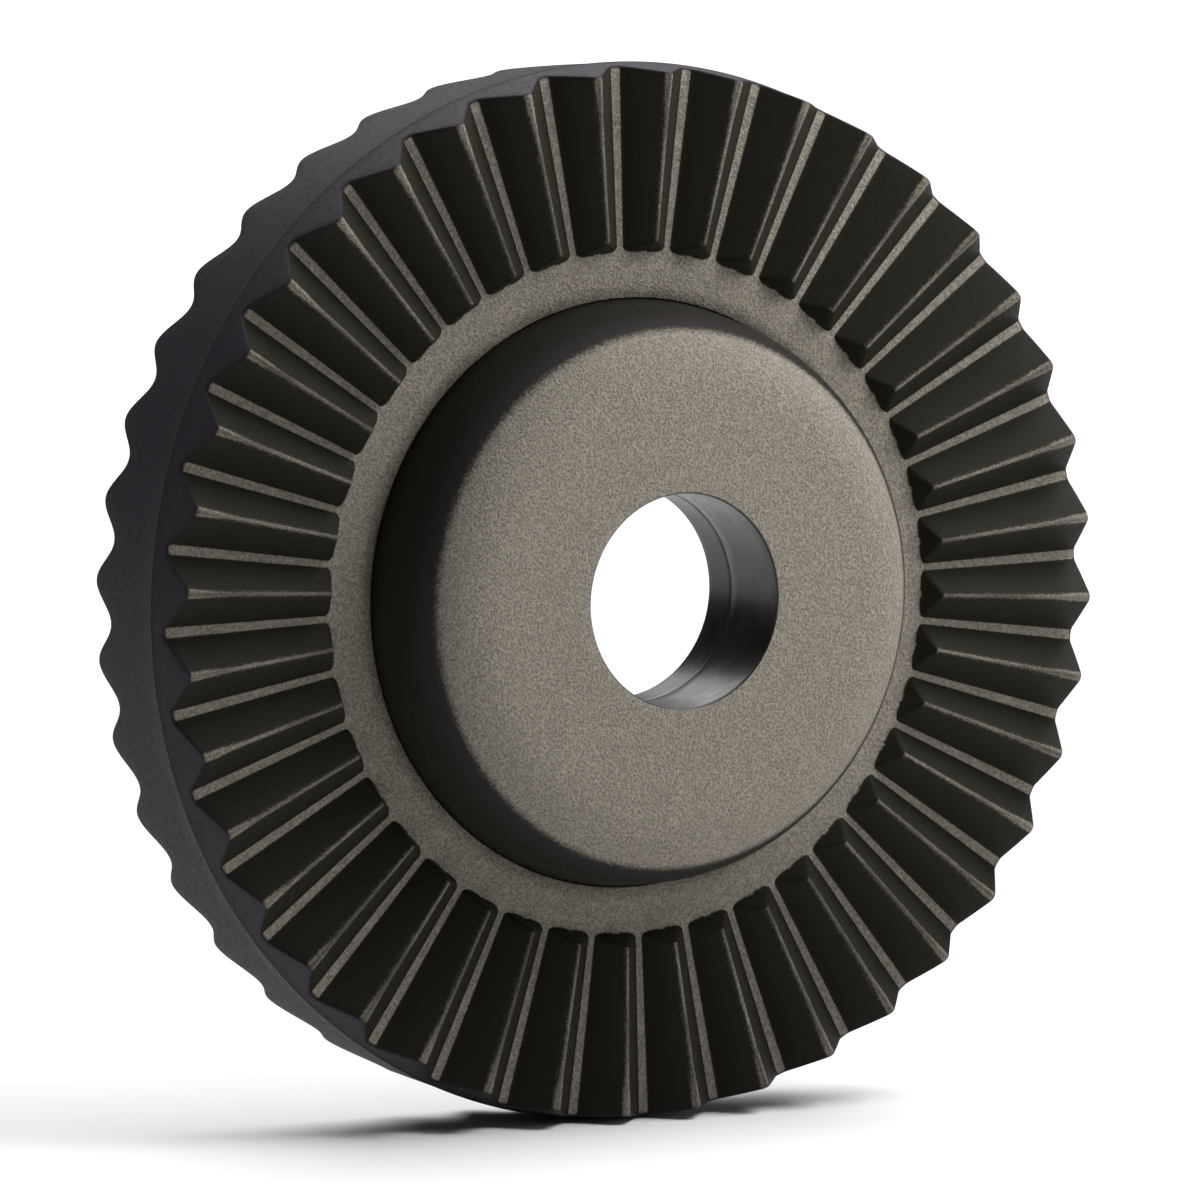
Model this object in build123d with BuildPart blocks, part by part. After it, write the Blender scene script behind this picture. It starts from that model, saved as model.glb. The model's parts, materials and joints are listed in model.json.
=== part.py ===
"""Crown gear: a straight-toothed face gear wheel with a raised hub and a plain bore.

The wheel stands upright on its shaft. Its axis is the Y axis, the toothed front faces -Y
and +Z is up. The origin is on the bore's axis, at the rear mouth of the bore.
All sizes are in millimetres. Profiles of revolution are drawn as (radius, y).
"""

import os
from math import radians, tan

from build123d import *

# --- driving dimensions ---------------------------------------------------------------

teeth = 40
first_space_angle = 1.8  # angle of a tooth space above +X, seen from the front

# Stations along the axis, front to back.
hub_face_y = -5.07
ring_face_y = -0.95  # flat ring, level with the floor of the tooth spaces
parting_y = -0.2  # largest circle of the rim
web_back_y = 1.9
flange_back_y = 2.6
lobe_y = 4.25  # middle of the waved rear edge
lobe_height = 0.65  # half the wave's height

# Radii.
bore_radius = 4.0
bush_radius = 5.4
sleeve_radius = 6.6
pocket_radius = 8.6
hub_top_radius = 10.4
hub_seat_radius = 11.0
flange_radius = 12.6
toe_radius = 12.83
parting_radius = 19.83
rear_radius = 19.55
skirt_inner_radius = 16.6

# Teeth: straight and radial, tapering to the axis, measured at the heel.
heel_radius = 19.53
heel_height = 1.48
heel_tip_land = 0.22
heel_space_land = 0.43
tip_fillet = 0.1
root_fillet = 0.2
toe_lean = 0.37  # outward lean of the inner end faces, per millimetre of height

# Hub and bush details.
hub_edge_radius = 2.7
hub_plate = 2.2
bush_length = 1.67
mouth_chamfer = 0.12
seam_chamfer = 0.05
rib_count = 8
rib_thickness = 1.2
rib_embed = 0.25
rib_recess = 0.3  # from the rear mouth of the bore forward to the ribs' rear edges
flange_chamfer = 0.2
inner_fillet = 0.8

# --- worked-out values ----------------------------------------------------------------

half_pitch = radians(180 / teeth)
tip_y = ring_face_y - heel_height
lobe_crest_y = lobe_y + lobe_height
bush_front_y = -bush_length
pocket_floor_y = hub_face_y + hub_plate
root_embed = 0.4
foot_cover = heel_space_land / 3  # strip of floor that belongs to each side of a tooth
cut_margin = 1.0
heel_draft = (parting_radius - heel_radius) / (parting_y - tip_y)
rear_draft = (parting_radius - rear_radius) / (lobe_y - parting_y)

os.makedirs("parts", exist_ok=True)


def wall_radius(y):
    """Radius of the rim's outer wall, which is drafted both ways from its largest circle."""
    draft = heel_draft if y < parting_y else rear_draft
    return parting_radius - draft * abs(y - parting_y)


def radial_plane(radius):
    """Plane square to X. Local x runs round the wheel, local y runs towards +Z."""
    return Plane(origin=(radius, 0, 0), x_dir=(0, 1, 0), z_dir=(1, 0, 0))


def export(piece, name):
    piece.part.label = name
    export_step(piece.part, f"parts/{name}.step")


# --- toothed rim ----------------------------------------------------------------------
# One tooth and one cut of the rear wave are drawn at +X with the wheel's axis along Z
# and its front towards +Z. Plane.XZ then stands them on the wheel's own axis.

with BuildPart() as tooth:
    for station in (toe_radius - cut_margin, parting_radius + cut_margin):
        scale = station / heel_radius
        foot_half = station * tan(half_pitch) - scale * heel_space_land / 2
        skirt_half = foot_half + scale * foot_cover
        tip_half = scale * heel_tip_land / 2
        floor = -ring_face_y
        with BuildSketch(radial_plane(station)) as section:
            with BuildLine():
                Polyline(
                    (-skirt_half, floor - root_embed),
                    (-skirt_half, floor),
                    (-foot_half, floor),
                    (-tip_half, floor + scale * heel_height),
                    (tip_half, floor + scale * heel_height),
                    (foot_half, floor),
                    (skirt_half, floor),
                    (skirt_half, floor - root_embed),
                    close=True,
                )
            make_face()
            by_height = section.vertices().group_by(Axis.Y)
            by_width = section.vertices().group_by(Axis.X)
            fillet(by_height[-1], scale * tip_fillet)
            fillet(by_width[1] + by_width[-2], scale * root_fillet)
    loft(ruled=True)
    # Trimmed to the leaning toe face and the drafted heel.
    with BuildSketch(Plane.XZ):
        with BuildLine():
            Polyline(
                (toe_radius - toe_lean * root_embed, -ring_face_y - root_embed),
                (wall_radius(ring_face_y + root_embed), -ring_face_y - root_embed),
                (wall_radius(tip_y - cut_margin), -tip_y + cut_margin),
                (toe_radius + toe_lean * (heel_height + cut_margin), -tip_y + cut_margin),
                close=True,
            )
        make_face()
    revolve(axis=Axis.Z, mode=Mode.INTERSECT)

with BuildPart() as wave_cut:
    for station in (skirt_inner_radius - cut_margin, parting_radius + cut_margin):
        pitch_half = station * tan(half_pitch)
        with BuildSketch(radial_plane(station)):
            with BuildLine():
                Spline(
                    (-pitch_half, -lobe_crest_y),
                    (-pitch_half / 2, -lobe_y),
                    (0, -lobe_y + lobe_height),
                    (pitch_half / 2, -lobe_y),
                    (pitch_half, -lobe_crest_y),
                    tangents=((1, 0), (1, 0)),
                )
                Polyline(
                    (pitch_half, -lobe_crest_y),
                    (pitch_half, -lobe_crest_y - cut_margin),
                    (-pitch_half, -lobe_crest_y - cut_margin),
                    (-pitch_half, -lobe_crest_y),
                )
            make_face()
    loft(ruled=True)

with BuildPart(Plane.XZ) as toothed_rim:
    with BuildSketch(Plane.XY):
        blank_back_y = lobe_crest_y + cut_margin / 2
        with BuildLine():
            Polyline(
                (hub_seat_radius, ring_face_y),
                (wall_radius(ring_face_y), ring_face_y),
                (parting_radius, parting_y),
                (wall_radius(blank_back_y), blank_back_y),
                (skirt_inner_radius, blank_back_y),
                (skirt_inner_radius, web_back_y),
                (hub_seat_radius, web_back_y),
                close=True,
            )
        make_face()
    revolve(axis=Axis.Y)
    circles = toothed_rim.edges().filter_by(GeomType.CIRCLE)
    skirt_circles = circles.group_by(SortBy.RADIUS)[1].sort_by(Axis.Y)
    fillet(skirt_circles[0], inner_fillet)
    with PolarLocations(0, teeth, start_angle=first_space_angle):
        add(wave_cut.part, mode=Mode.SUBTRACT)
    with PolarLocations(0, teeth, start_angle=first_space_angle + 180 / teeth):
        add(tooth.part)

# --- hub ------------------------------------------------------------------------------
# The boss is pushed into the rim from behind, up to its flange. It is cored out from the
# rear, which leaves a ribbed pocket between its outer wall and the sleeve round the bore.

with BuildPart(Plane.XZ) as hub:
    with BuildSketch(Plane.XY) as hub_profile:
        with BuildLine():
            Polyline(
                (bore_radius, hub_face_y),
                (hub_top_radius, hub_face_y),
                (hub_seat_radius, ring_face_y),
                (hub_seat_radius, web_back_y),
                (flange_radius, web_back_y),
                (flange_radius, flange_back_y),
                (pocket_radius, flange_back_y),
                (pocket_radius, pocket_floor_y),
                (sleeve_radius, pocket_floor_y),
                (sleeve_radius, 0),
                (bush_radius, 0),
                (bush_radius, bush_front_y),
                (bore_radius, bush_front_y),
                close=True,
            )
        make_face()
        front_corners = hub_profile.vertices().group_by(Axis.Y)[0].sort_by(Axis.X)
        fillet(front_corners[-1], hub_edge_radius)
        bore_corners = hub_profile.vertices().group_by(Axis.X)[0].sort_by(Axis.Y)
        chamfer(bore_corners[0], mouth_chamfer)
        chamfer(bore_corners[-1], seam_chamfer)
        flange_corners = hub_profile.vertices().group_by(Axis.X)[-1]
        chamfer(flange_corners.sort_by(Axis.Y)[-1], flange_chamfer)
    revolve(axis=Axis.Y)
    with BuildSketch(Plane.XZ.offset(-pocket_floor_y)):
        with PolarLocations((sleeve_radius + pocket_radius) / 2, rib_count):
            Rectangle(pocket_radius - sleeve_radius + 2 * rib_embed, rib_thickness)
    extrude(amount=pocket_floor_y + rib_recess)

# --- bush -----------------------------------------------------------------------------
# A short sleeve pressed into the hub's rear counterbore carries on the bore at the same
# radius. Its front end shows in the bore as a fine line.

with BuildPart() as bore_bush:
    with BuildSketch(Plane.XY) as bush_profile:
        with BuildLine():
            Polyline(
                (bore_radius, bush_front_y),
                (bush_radius, bush_front_y),
                (bush_radius, 0),
                (bore_radius, 0),
                close=True,
            )
        make_face()
        inner_corners = bush_profile.vertices().group_by(Axis.X)[0].sort_by(Axis.Y)
        chamfer(inner_corners[0], seam_chamfer)
        chamfer(inner_corners[-1], mouth_chamfer)
    revolve(axis=Axis.Y)

export(toothed_rim, "toothed_rim")
export(hub, "hub")
export(bore_bush, "bore_bush")
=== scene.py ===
"""Looks for the crown gear: detailed closed meshes for its three pieces, plastic and light.

Lengths named *_mm are millimetres in the row's frame: the axis is Y, the toothed front
faces -Y and +Z is up. Every mesh is a grid of columns round the axis, each column being
one closed outline in the half-plane of (radius, y) at its own angle.
"""

import json
from math import cos, pi, radians, sin, tan

import bpy
import numpy as np
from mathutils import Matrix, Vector


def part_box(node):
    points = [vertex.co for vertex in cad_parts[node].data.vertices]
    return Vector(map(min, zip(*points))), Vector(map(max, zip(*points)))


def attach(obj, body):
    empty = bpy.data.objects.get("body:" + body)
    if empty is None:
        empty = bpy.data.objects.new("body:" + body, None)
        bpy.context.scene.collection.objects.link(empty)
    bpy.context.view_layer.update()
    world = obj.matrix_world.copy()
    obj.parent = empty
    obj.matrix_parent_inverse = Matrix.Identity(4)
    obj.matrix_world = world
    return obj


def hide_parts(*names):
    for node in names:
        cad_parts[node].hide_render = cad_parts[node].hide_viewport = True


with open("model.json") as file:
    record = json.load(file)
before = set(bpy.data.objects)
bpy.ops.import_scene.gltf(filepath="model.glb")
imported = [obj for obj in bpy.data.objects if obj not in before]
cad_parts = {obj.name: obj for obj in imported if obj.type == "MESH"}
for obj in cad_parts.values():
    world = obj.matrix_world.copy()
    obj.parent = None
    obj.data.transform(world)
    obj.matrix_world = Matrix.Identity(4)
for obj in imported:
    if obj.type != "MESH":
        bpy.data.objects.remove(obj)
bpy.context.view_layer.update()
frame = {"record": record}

MM = 0.001


def node_box_mm(node):
    low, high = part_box(node)
    return low / MM, high / MM


# --- dimensions -----------------------------------------------------------------------

rim_low, rim_high = node_box_mm("toothed_rim")
hub_low, hub_high = node_box_mm("hub")
bush_low, bush_high = node_box_mm("bore_bush")
bore_mount = next(m for m in frame["record"]["mounts"] if m["name"] == "bore")

# Rim, along the axis from front to back.
tip_y_mm = rim_low.y
ring_y_mm = -0.95
parting_y_mm = -0.2
web_back_mm = 1.9
crest_y_mm = rim_high.y
wave_half_mm = 0.65

# Rim, outwards from the axis.
seat_mm = 11.0
toe_mm = 12.83
skirt_inner_mm = 16.6
heel_mm = 19.53
rear_mm = 19.55
outer_mm = rim_high.x  # the largest circle, where the outer wall's two drafts meet
flash_mm = 0.03  # height of the fine raised line at the largest circle
half_flash_mm = 0.05
line_mm = outer_mm - flash_mm

# Teeth, measured at the heel.
TEETH = 40
PITCH = 2 * pi / TEETH
FIRST_SPACE = radians(1.8)  # angle of a tooth space above +X, seen from the front
tooth_height_mm = ring_y_mm - tip_y_mm
half_pitch_mm = heel_mm * tan(PITCH / 2)
space_land_mm = 0.215  # half width of the floor between two teeth
foot_mm = half_pitch_mm - space_land_mm
crest_band_mm = 0.2  # half width of the crest that may carry grain and its painted highlight
crest_reach_mm = 0.15  # how far the crest's bend reaches down each flank
heel_crest_reach_mm = 0.34
root_reach_mm = 0.13
flare_mm = 1.5  # length of the crest over which it widens towards the heel
toe_foot_mm = toe_mm - 0.05
toe_step_mm = 0.06  # from the foot of a toe face outwards to the line that it leans along
toe_lean = 0.37
toe_curl_mm = 0.12  # how far the toe faces curl back at their two sides

# Hub and bush.
bore_mm = bore_mount["dims"]["r_mm"]
hub_face_mm = hub_low.y
hub_top_mm = 10.4
hub_edge_mm = 2.66
flange_mm = hub_high.x
flange_back_mm = hub_high.y
pocket_mm = 8.6
pocket_floor_mm = hub_face_mm + 2.2
sleeve_mm = 6.6
bush_mm = bush_high.x
bush_front_mm = bush_low.y
bush_columns = 192
RIBS = 8
rib_top_mm = -0.3
rib_half_mm = 0.6
rib_draft = 0.015  # half the angle, in radians, over which a rib's side falls to the floor

# How the surface is told apart: the grain fades in between two values of facing.
# On the crests the grain spans a wider range of facing, so its lighter colour also paints a
# highlight along each crest's bend.
CREST_FACING = (0.58, 0.84)
FLAT_FACING = (0.86, 0.985)
HUB_FACING = (0.54, 0.8)
HUB_WALL_FACING = (0.2, 0.5)  # where the boss's edge takes on some of the outer wall's colour
hub_wall_share = 0.3
grain_back_mm = web_back_mm + 0.1  # the waved edge behind this is smooth
bore_wall_mm = bore_mm + 0.06  # the bore's own plastic ends here, in its rounded mouth
root_shade_mm = 0.6  # how far the painted shade in the corner by the hub reaches
sharpest_bend = 6  # curvature, per millimetre, that counts as fully sharp
bend_share = 0.9  # of a line, which the bends at its two ends may take up together


# --- mesh building --------------------------------------------------------------------


def bend(before, corner, after, reach, shares, steps):
    """Points of a smooth bend at a corner, for every column at once.

    The bend starts and ends one reach away from the corner, or less where that is more
    than its share of the line to the corner's neighbour.
    """
    into, out = before - corner, after - corner
    room_in = np.linalg.norm(into, axis=1)
    room_out = np.linalg.norm(out, axis=1)
    reach = np.minimum(reach, np.minimum(shares[0] * room_in, shares[1] * room_out))[:, None]
    start = corner + into / room_in[:, None] * reach
    end = corner + out / room_out[:, None] * reach
    t = np.linspace(0, 1, steps + 1)[None, :, None]
    start, middle, end = start[:, None, :], corner[:, None, :], end[:, None, :]
    return (1 - t) ** 2 * start + 2 * t * (1 - t) * middle + t**2 * end


def outline(corners, columns):
    """Closed rounded outline of every column, as (columns, rows, 2).

    A corner is (radius, y, reach, steps of its bend, steps of the line after it), and its
    radius and y are one number, or one number for each column.
    """
    count = len(corners)
    zeros = np.zeros(columns)
    points = [np.stack([c[0] + zeros, c[1] + zeros], axis=-1) for c in corners]
    reaches, bends, runs = zip(*[c[2:] for c in corners])
    bent = []
    for i in range(count):
        after = (i + 1) % count
        shares = [bend_share * reaches[i] / (reaches[i] + reaches[j]) for j in (i - 1, after)]
        bent.append(bend(points[i - 1], points[i], points[after], reaches[i], shares, bends[i]))
    parts = []
    for i in range(count):
        parts.append(bent[i])
        start, end = bent[i][:, -1], bent[(i + 1) % count][:, 0]
        for step in range(1, runs[i]):
            parts.append((start + (end - start) * step / runs[i])[:, None, :])
    return np.concatenate(parts, axis=1)


def first_row(corners, index):
    """Row of the outline at which the bend of one corner starts."""
    return sum(bends + runs for *_, bends, runs in corners[:index])


def rounded_line(points, reaches, steps):
    """One open line of points with bends at its inner corners."""
    points = [np.array([p], float) for p in points]
    shares = (bend_share, bend_share)
    bends = [bend(*points[i : i + 3], reach, shares, steps)[0] for i, reach in enumerate(reaches)]
    return np.concatenate([points[0], *bends, points[-1]])


def both_sides(values, sign):
    """Values from a middle outwards, mirrored to its other side and without the last one."""
    return np.concatenate([sign * values[:0:-1], values[:-1]])


def wheel_mesh(name, angles, paths, attributes, second_look=None):
    """Closed mesh from one outline for each angle; attributes are point values.

    second_look marks the rows of faces that take the second material.
    """
    columns, rows = paths.shape[:2]
    radius, y = paths[..., 0] * MM, paths[..., 1] * MM
    x, z = radius * np.cos(angles)[:, None], radius * np.sin(angles)[:, None]
    verts = np.stack([x, y, z], axis=-1).reshape(-1, 3)
    col, row = np.meshgrid(np.arange(columns), np.arange(rows), indexing="ij")
    here, there = col * rows, (col + 1) % columns * rows
    next_row = (row + 1) % rows
    quads = np.stack([here + row, here + next_row, there + next_row, there + row], axis=-1)
    mesh = bpy.data.meshes.new(name)
    mesh.from_pydata(verts.tolist(), [], quads.reshape(-1, 4).tolist())
    mesh.polygons.foreach_set("use_smooth", [True] * len(mesh.polygons))
    if second_look is not None:
        looks = np.tile(second_look, columns).astype(np.int32)
        mesh.polygons.foreach_set("material_index", looks)
    for label, values in attributes.items():
        layer = mesh.attributes.new(label, "FLOAT", "POINT")
        layer.data.foreach_set("value", np.asarray(values, np.float32).reshape(-1))
    mesh.update()
    piece = bpy.data.objects.new(name, mesh)
    bpy.context.scene.collection.objects.link(piece)
    return piece


def surface_values(angles, paths):
    """Facing, edge and hollow of every point, each from 0 to 1: how far it faces along the
    axis, and how sharply the surface bends outwards or inwards there."""
    radius, y = paths[..., 0], paths[..., 1]
    spot = np.stack(
        [radius * np.cos(angles)[:, None], y, radius * np.sin(angles)[:, None]], axis=-1
    )
    along = np.roll(spot, -1, 1) - np.roll(spot, 1, 1)
    across = np.roll(spot, -1, 0) - np.roll(spot, 1, 0)
    normal = np.cross(along, across)
    normal /= np.linalg.norm(normal, axis=2, keepdims=True) + 1e-12
    edge = np.zeros(radius.shape)
    hollow = np.zeros(radius.shape)
    for axis, step in ((0, across), (1, along)):
        turn = np.roll(normal, -1, axis) - np.roll(normal, 1, axis)
        curve = (turn * step).sum(2) / ((step**2).sum(2) + 1e-9) / sharpest_bend
        edge = np.clip(curve, edge, 1)
        hollow = np.clip(-curve, hollow, 1)
    return np.abs(normal[..., 1]), edge, hollow


def smooth_step(values, low, high):
    t = np.clip((values - low) / (high - low), 0, 1)
    return t * t * (3 - 2 * t)


# --- toothed rim ----------------------------------------------------------------------


def outer_wall_mm(y):
    """Radius of the rim's outer wall, which is drafted both ways from the parting line."""
    heel_draft = (outer_mm - heel_mm) / (parting_y_mm - tip_y_mm)
    rear_draft = (outer_mm - rear_mm) / (crest_y_mm - wave_half_mm - parting_y_mm)
    slope = np.where(y < parting_y_mm, heel_draft, rear_draft)
    return line_mm - slope * np.abs(y - parting_y_mm)


def tooth_profile(offsets, crest_reach):
    """Height of a tooth at the heel, from its middle out to the middle of the space.

    The crest is a bend over the point where the two flanks would meet. The bend takes some
    height away, so the flank's slope is found in a few rounds.
    """
    slope = tooth_height_mm / foot_mm
    for _ in range(20):
        drop = crest_reach * slope / np.hypot(1, slope) / 2
        slope = (tooth_height_mm + drop) / foot_mm
    line = rounded_line(
        [(-foot_mm, 0), (0, slope * foot_mm), (foot_mm, 0), (half_pitch_mm, 0)],
        reaches=(crest_reach, root_reach_mm),
        steps=40,
    )
    return np.interp(offsets, line[:, 0], line[:, 1])


def rim_columns():
    """Angle, angle from its tooth's middle, and heights of the tooth for every column.

    The columns are close together where the crest and the root bend.
    """
    crest_end_mm, flank_start_mm, flank_end_mm = 0.24, 0.36, foot_mm - 0.22
    over_crest = (0, 0.025, 0.05, 0.085, 0.13, 0.18, crest_end_mm)
    along_flank = np.linspace(flank_start_mm, flank_end_mm, 5)
    over_root = foot_mm + np.array([-0.16, -0.1, -0.05, 0, 0.05, 0.1, 0.15])
    offsets = np.concatenate([over_crest, along_flank, over_root, (half_pitch_mm,)])
    side = both_sides(np.arctan(offsets / heel_mm), -1)
    middles = FIRST_SPACE + PITCH / 2 + PITCH * np.arange(TEETH)
    angles = (middles[:, None] + side[None, :]).reshape(-1)
    body, heel = (
        np.tile(both_sides(tooth_profile(offsets, reach), 1), TEETH)
        for reach in (crest_reach_mm, heel_crest_reach_mm)
    )
    return angles, np.tile(side, TEETH), body, heel


def rim_corners(side, body, heel):
    """Corners of the rim's outlines, from the back of the seat round to the back of the web."""
    lift, heel_lift = body / heel_mm, heel / heel_mm  # rise over one millimetre of radius
    spread = np.clip(np.abs(side) / np.arctan(foot_mm / heel_mm), 0, 1)
    toe = toe_foot_mm + toe_curl_mm * spread**6
    toe_top = (toe + toe_step_mm) / (1 - toe_lean * lift)
    wall_at_ring = float(outer_wall_mm(ring_y_mm))
    draft = (line_mm - wall_at_ring) / (parting_y_mm - ring_y_mm)
    heel_top = wall_at_ring / (1 + draft * heel_lift)
    flare = heel_top - flare_mm
    wave_y = crest_y_mm - wave_half_mm * (1 - np.cos(2 * pi * side / PITCH))
    return [
        (seat_mm, web_back_mm, 0.05, 1, 2),
        (seat_mm, ring_y_mm, 0.07, 3, 3),
        (toe, ring_y_mm, 0.12, 3, 2),
        (toe_top, ring_y_mm - toe_top * lift, 0.16, 4, 7),
        (flare, ring_y_mm - flare * lift, 0.3, 2, 4),
        (heel_top, ring_y_mm - heel_top * heel_lift, 0.14, 4, 3),
        (line_mm, parting_y_mm - half_flash_mm, 0.01, 1, 1),
        (outer_mm, parting_y_mm, 0.015, 2, 1),
        (line_mm, parting_y_mm + half_flash_mm, 0.01, 1, 4),
        (outer_wall_mm(wave_y), wave_y, 0.25, 4, 2),
        (skirt_inner_mm, wave_y, 0.2, 3, 2),
        (skirt_inner_mm, web_back_mm, 0.8, 4, 2),
    ]


def make_rim():
    """The rim. Its flat faces are grained, and the crests carry the grain over each side, partly
    as a painted highlight.

    Handling has darkened its sharp edges, and painted shade darkens the corner by the hub.
    """
    angles, side, body, heel = rim_columns()
    corners = rim_corners(side, body, heel)
    paths = outline(corners, len(angles))
    radius, y = paths[..., 0], paths[..., 1]
    facing, edge, _ = surface_values(angles, paths)
    crest = (np.abs(side) < crest_band_mm / heel_mm)[:, None] & (y < ring_y_mm)
    # grain, and on the crests also a painted highlight over their bend
    grain = np.where(crest, smooth_step(facing, *CREST_FACING), smooth_step(facing, *FLAT_FACING))
    grain *= y < grain_back_mm
    # painted shade: darker towards the corner between the ring and the hub
    corner_shade = 1 - smooth_step(radius, seat_mm, seat_mm + root_shade_mm)
    # The wall's own colour starts half-way round the bend at the heel.
    heel_top, skirt_inner = 5, 10  # places in the list of corners
    wall_start = first_row(corners, heel_top) + 2
    wall = np.zeros(radius.shape)
    wall[:, wall_start : first_row(corners, skirt_inner)] = 1
    values = {"grain": grain, "grime": np.maximum(edge, corner_shade), "wall": wall}
    return wheel_mesh("rim_moulding", angles, paths, values)


# --- hub ------------------------------------------------------------------------------


def hub_columns():
    """Angle of every column, and how much of a rib's height it has, from 0 to 1."""
    rib_angle = 2 * pi / RIBS
    rib_side = rib_half_mm / ((sleeve_mm + pocket_mm) / 2)
    over_rib = (0, rib_side / 2)
    down_side = rib_side + rib_draft * np.array([-1, -1 / 3, 1 / 3, 1])
    between_ribs = np.linspace(rib_side + rib_draft, rib_angle / 2, 12)[1:]
    side = both_sides(np.concatenate([over_rib, down_side, between_ribs]), -1)
    raised = both_sides(np.array([1, 1, 1, 0.96, 0.04, 0] + [0] * len(between_ribs)), 1)
    angles = (rib_angle * np.arange(RIBS)[:, None] + side[None, :]).reshape(-1)
    return angles, np.tile(raised, RIBS)


def make_hub():
    """The boss with its rear pocket; the ribs are columns whose pocket floor is raised."""
    angles, raised = hub_columns()
    floor = pocket_floor_mm + (rib_top_mm - pocket_floor_mm) * raised
    corners = [
        (bore_mm, hub_face_mm, 0.1, 4, 8),
        (hub_top_mm, hub_face_mm, hub_edge_mm, 16, 6),
        (seat_mm, ring_y_mm, 0.02, 1, 3),
        (seat_mm, web_back_mm, 0.02, 1, 2),
        (flange_mm, web_back_mm, 0.05, 2, 2),
        (flange_mm, flange_back_mm, 0.2, 3, 5),
        (pocket_mm, flange_back_mm, 0.25, 4, 6),
        (pocket_mm, floor, 0.3, 4, 3),
        (sleeve_mm, floor, 0.3, 4, 6),
        (sleeve_mm, 0.0, 0.15, 3, 3),
        (bush_mm, 0.0, 0.03, 1, 3),
        (bush_mm, bush_front_mm, 0.02, 1, 2),
        (bore_mm, bush_front_mm, 0.05, 2, 6),
    ]
    paths = outline(corners, len(angles))
    facing, _, hollow = surface_values(angles, paths)
    from_ring = np.abs(ring_y_mm - paths[..., 1])
    values = {
        "grain": smooth_step(facing, *HUB_FACING),
        # painted shade on the boss, darker towards the ring where the hub meets it
        "grime": np.clip(1 - from_ring / root_shade_mm, 0, 1),
        "hollow": hollow,
        "wall": hub_wall_share * smooth_step(facing, *HUB_WALL_FACING),
    }
    in_bore = paths[0, :, 0] < bore_wall_mm
    bore_faces = in_bore & np.roll(in_bore, -1)
    return wheel_mesh("hub_moulding", angles, paths, values, bore_faces)


def make_bush():
    angles = np.linspace(0, 2 * pi, bush_columns, endpoint=False)
    corners = [
        (bore_mm, bush_front_mm, 0.04, 2, 2),
        (bush_mm, bush_front_mm, 0.03, 1, 2),
        (bush_mm, 0.0, 0.05, 2, 3),
        (bore_mm, 0.0, 0.1, 4, 6),
    ]
    paths = outline(corners, len(angles))
    _, _, hollow = surface_values(angles, paths)
    return wheel_mesh("bush_sleeve", angles, paths, {"hollow": hollow})


# --- materials ------------------------------------------------------------------------


class Nodes:
    """A material's node tree, with short calls for the nodes that are used often."""

    def __init__(self, name):
        self.material = bpy.data.materials.new(name)
        self.material.use_nodes = True
        self.tree = self.material.node_tree
        self.shader = self.tree.nodes["Principled BSDF"]
        self.place = self.tree.nodes.new("ShaderNodeTexCoord").outputs["Object"]

    def put(self, socket, value):
        if hasattr(value, "is_output"):
            self.tree.links.new(value, socket)
        else:
            socket.default_value = value

    def noise(self, scale, detail, stretch=None):
        node = self.tree.nodes.new("ShaderNodeTexNoise")
        node.inputs["Scale"].default_value = scale
        node.inputs["Detail"].default_value = detail
        place = self.place
        if stretch:
            mapping = self.tree.nodes.new("ShaderNodeMapping")
            mapping.inputs["Scale"].default_value = stretch
            self.put(mapping.inputs["Vector"], place)
            place = mapping.outputs["Vector"]
        self.put(node.inputs["Vector"], place)
        return node.outputs["Fac"]

    def pits(self, scale):
        node = self.tree.nodes.new("ShaderNodeTexVoronoi")
        node.inputs["Scale"].default_value = scale
        self.put(node.inputs["Vector"], self.place)
        return node.outputs["Distance"]

    def value(self, name):
        node = self.tree.nodes.new("ShaderNodeAttribute")
        node.attribute_name = name
        return node.outputs["Fac"]

    def math(self, kind, a, b):
        node = self.tree.nodes.new("ShaderNodeMath")
        node.operation = kind
        self.put(node.inputs[0], a)
        self.put(node.inputs[1], b)
        return node.outputs[0]

    def add(self, a, b):
        return self.math("ADD", a, b)

    def times(self, a, b):
        return self.math("MULTIPLY", a, b)

    def remap(self, value, low, high, to_low=0.0, to_high=1.0):
        node = self.tree.nodes.new("ShaderNodeMapRange")
        node.interpolation_type = "SMOOTHSTEP"
        for socket, number in zip(list(node.inputs)[1:5], (low, high, to_low, to_high)):
            socket.default_value = number
        self.put(node.inputs["Value"], value)
        return node.outputs["Result"]

    def mix(self, factor, a, b, kind="RGBA"):
        node = self.tree.nodes.new("ShaderNodeMix")
        node.data_type = kind
        self.put(node.inputs["Factor"], factor)
        self.put(node.inputs["A"], a)
        self.put(node.inputs["B"], b)
        return node.outputs["Result"]

    def blend(self, factor, a, b):
        return self.mix(factor, a, b, "FLOAT")

    def bump(self, height, depth_mm, strength):
        node = self.tree.nodes.new("ShaderNodeBump")
        node.inputs["Strength"].default_value = strength
        node.inputs["Distance"].default_value = depth_mm * MM
        self.put(node.inputs["Height"], height)
        self.put(self.shader.inputs["Normal"], node.outputs["Normal"])

    def specular(self, level):
        self.shader.inputs["Specular IOR Level"].default_value = level

    def finish(self, colour, roughness):
        self.put(self.shader.inputs["Base Color"], colour)
        self.put(self.shader.inputs["Roughness"], roughness)
        return self.material


def colour(red, green, blue):
    return (red, green, blue, 1.0)


GRAIN_LIGHT = colour(0.272, 0.245, 0.21)
GRAIN_DARK = colour(0.142, 0.127, 0.107)
GRAIN_CLOUD = colour(0.21, 0.2, 0.16)
FLANK = colour(0.018, 0.0165, 0.0125)
WALL = colour(0.03, 0.0255, 0.0325)
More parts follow.
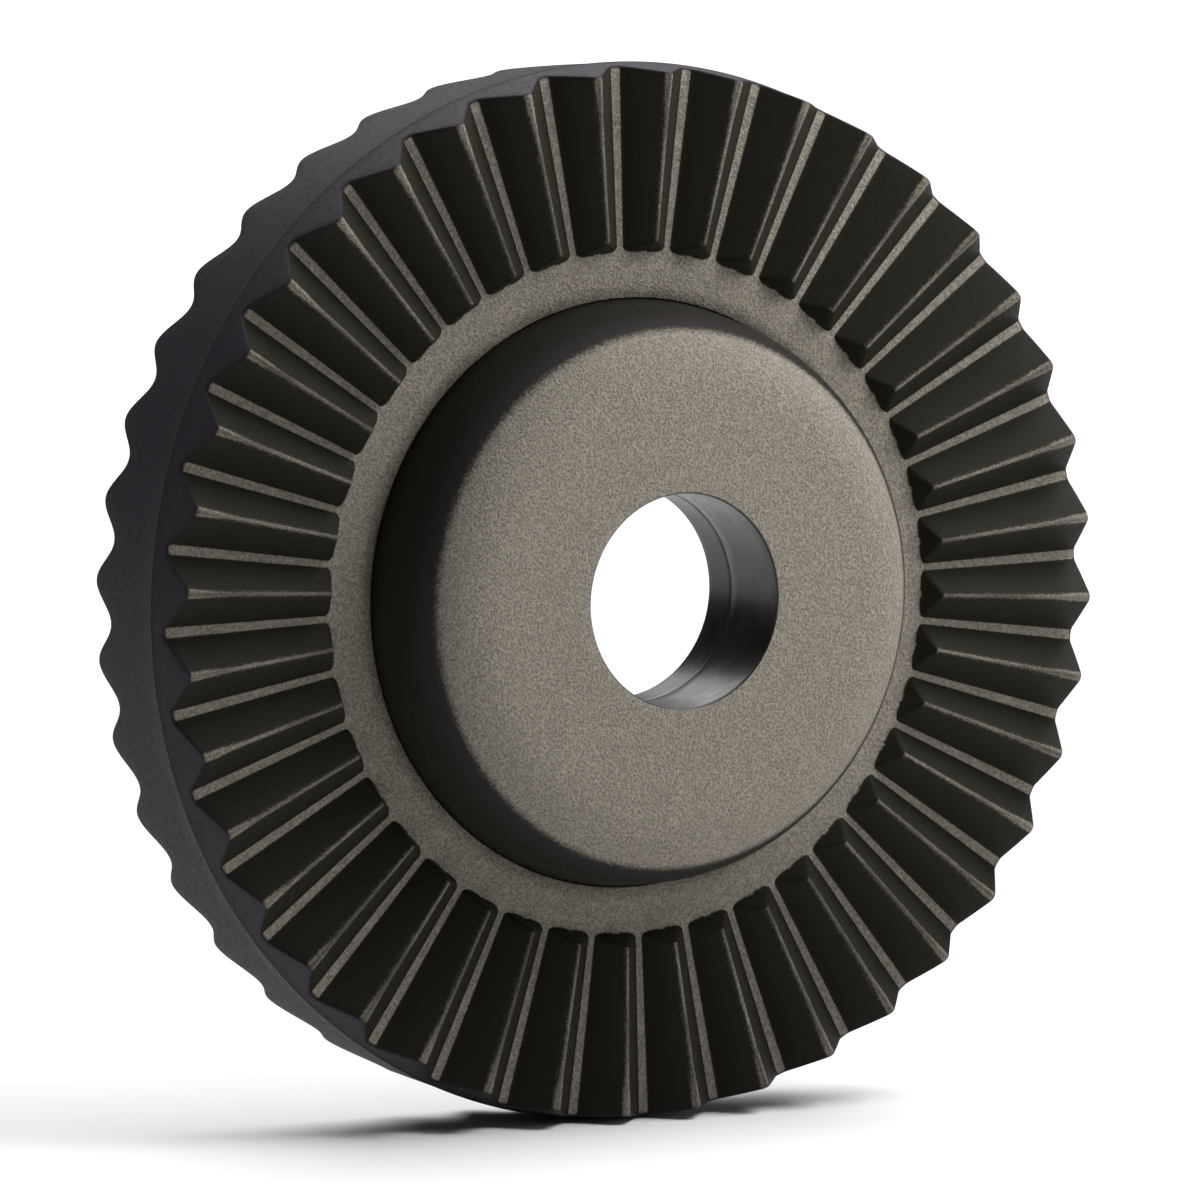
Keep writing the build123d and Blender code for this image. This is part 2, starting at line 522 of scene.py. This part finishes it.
# dark colour of worn edges, also used as painted shade in the corner by the hub
WORN_EDGE_AND_SHADE = colour(0.009, 0.0055, 0.004)
BORE_DARK = colour(0.012, 0.011, 0.01)
BORE_LIGHT = colour(0.03, 0.028, 0.026)
PAPER_DARK = colour(0.9, 0.9, 0.9)
PAPER_LIGHT = colour(0.93, 0.93, 0.93)
WHITE = colour(1, 1, 1)


def moulded_plastic(name):
    """Black filled plastic: grained where the mould was sparked, smooth elsewhere."""
    n = Nodes(name)
    sparks = n.noise(scale=12000, detail=3.0)
    grain = n.add(n.times(sparks, 0.8), n.times(n.pits(scale=9500), 0.4))
    fine = n.noise(scale=5000, detail=3.0)
    mottle = n.noise(scale=3000, detail=1.0)
    cloud = n.noise(scale=260, detail=2.0)

    ragged = n.remap(n.noise(scale=9000, detail=2.0), 0.3, 0.7, -0.12, 0.12)
    grained = n.remap(n.add(n.value("grain"), ragged), 0.12, 0.88)

    grain_colour = n.mix(n.remap(grain, 0.42, 0.8), GRAIN_DARK, GRAIN_LIGHT)
    grain_colour = n.mix(n.remap(mottle, 0.35, 0.65, 0.0, 0.25), grain_colour, GRAIN_CLOUD)
    smooth_colour = n.mix(n.value("wall"), FLANK, WALL)
    body = n.mix(grained, smooth_colour, grain_colour)
    # darkening of worn edges, and painted shade in the corner by the hub, broken up by cloudy
    # noise
    wear_and_shade = n.times(n.value("grime"), n.remap(cloud, 0.3, 0.7, 0.3, 0.7))
    body = n.mix(wear_and_shade, body, WORN_EDGE_AND_SHADE)

    smooth_roughness = n.remap(fine, 0.3, 0.7, 0.5, 0.62)
    grain_roughness = n.remap(grain, 0.3, 0.9, 0.6, 0.78)
    roughness = n.blend(grained, smooth_roughness, grain_roughness)
    n.bump(n.blend(grained, n.times(fine, 0.25), grain), depth_mm=0.07, strength=1.0)
    n.specular(0.06)
    return n.finish(body, roughness)


def bore_plastic(name):
    """Smooth dark plastic with fine drawn rings and a little pale dust in its hollows."""
    n = Nodes(name)
    rings = n.noise(scale=900, detail=3.0, stretch=(1, 14, 1))
    cloud = n.noise(scale=500, detail=2.0)
    body = n.mix(n.remap(cloud, 0.3, 0.7), BORE_DARK, BORE_LIGHT)
    body = n.mix(n.times(n.value("hollow"), 0.6), body, GRAIN_LIGHT)
    n.bump(rings, depth_mm=0.006, strength=0.5)
    n.specular(0.3)
    return n.finish(body, n.remap(rings, 0.3, 0.7, 0.26, 0.4))


def studio_paper():
    n = Nodes("studio_paper")
    body = n.mix(n.noise(scale=3, detail=1.0), PAPER_DARK, PAPER_LIGHT)
    return n.finish(body, 0.9)


# --- the object -----------------------------------------------------------------------

rim = make_rim()
rim.data.materials.append(moulded_plastic("rim_plastic_look"))
hub = make_hub()
hub.data.materials.append(moulded_plastic("hub_plastic_look"))
hub.data.materials.append(bore_plastic("bore_wall_look"))
bush = make_bush()
bush.data.materials.append(bore_plastic("bush_plastic_look"))

for piece, node, slot in (
    (rim, "toothed_rim", "rim_plastic"),
    (hub, "hub", "hub_plastic"),
    (bush, "bore_bush", "bush_plastic"),
):
    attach(piece, "root")
    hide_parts(node)

# --- studio ---------------------------------------------------------------------------

FLOOR_SIDE = 6.0
WORLD_STRENGTH = 0.01

# Soft lights on the wheel: name, azimuth, elevation, distance, side of the square, power.
SOFTBOXES = (
    ("side", 60, 7, 0.3, 0.14, 0.14),
    ("key", 50, 44, 0.07, 0.045, 0.045),
    ("front", 16, 48, 0.07, 0.04, 0.011),
    ("left", -65, 12, 0.3, 0.14, 0.02),
)

BACKDROP_SIDES = (1.0, 1.6)
BACKDROP_POWER = 14
BACKDROP_PLACE = (0.35, 0.6, 0.6)
BACKDROP_TURN = radians(-30)

CAMERA_AZIMUTH, CAMERA_ELEVATION, CAMERA_DISTANCE = -30.12, 5.09, 0.4673
CAMERA_TARGET = Vector((-0.00054, 0.00028, -0.00034))
CAMERA_LENS, CAMERA_SENSOR, CAMERA_NEAR = 374.64, 36, 0.01


def direction(azimuth, elevation):
    """Unit vector from the wheel: azimuth in degrees from its front towards +X."""
    a, e = radians(azimuth), radians(elevation)
    return Vector((sin(a) * cos(e), -cos(a) * cos(e), sin(e)))


def add_object(name, data):
    thing = bpy.data.objects.new(name, data)
    bpy.context.scene.collection.objects.link(thing)
    return thing


def make_floor():
    half, z = FLOOR_SIDE / 2, rim_low.z * MM
    corners = [(-half, -half, z), (half, -half, z), (half, half, z), (-half, half, z)]
    mesh = bpy.data.meshes.new("studio_floor")
    mesh.from_pydata(corners, [], [(0, 1, 2, 3)])
    mesh.materials.append(studio_paper())
    add_object("studio_floor", mesh)


def add_softbox(name, azimuth, elevation, distance, size, power):
    """A square soft light, aimed at the wheel from a direction given in degrees."""
    light = bpy.data.lights.new(name, "AREA")
    light.shape = "SQUARE"
    light.size = size
    light.energy = power
    lamp = add_object(name, light)
    lamp.location = direction(azimuth, elevation) * distance
    lamp.rotation_euler = lamp.location.to_track_quat("Z", "Y").to_euler()


def add_backdrop_light():
    """A wide panel above the floor behind the wheel, which burns the background out."""
    light = bpy.data.lights.new("backdrop", "AREA")
    light.shape = "RECTANGLE"
    light.size, light.size_y = BACKDROP_SIDES
    light.energy = BACKDROP_POWER
    lamp = add_object("backdrop", light)
    lamp.location = BACKDROP_PLACE
    lamp.rotation_euler = (0, 0, BACKDROP_TURN)


def add_camera():
    """A long lens a little to the wheel's left and just above it."""
    camera = add_object("camera", bpy.data.cameras.new("camera"))
    camera.data.sensor_width = CAMERA_SENSOR
    camera.data.lens = CAMERA_LENS
    camera.data.clip_start = CAMERA_NEAR
    away = direction(CAMERA_AZIMUTH, CAMERA_ELEVATION)
    camera.location = CAMERA_TARGET + away * CAMERA_DISTANCE
    camera.rotation_euler = away.to_track_quat("Z", "Y").to_euler()
    bpy.context.scene.camera = camera


def make_world():
    world = bpy.data.worlds.new("studio")
    world.use_nodes = True
    background = world.node_tree.nodes["Background"]
    background.inputs["Color"].default_value = WHITE
    background.inputs["Strength"].default_value = WORLD_STRENGTH
    bpy.context.scene.world = world


make_floor()
add_camera()
for softbox in SOFTBOXES:
    add_softbox(*softbox)
add_backdrop_light()
make_world()
bpy.context.scene.view_settings.view_transform = "Standard"
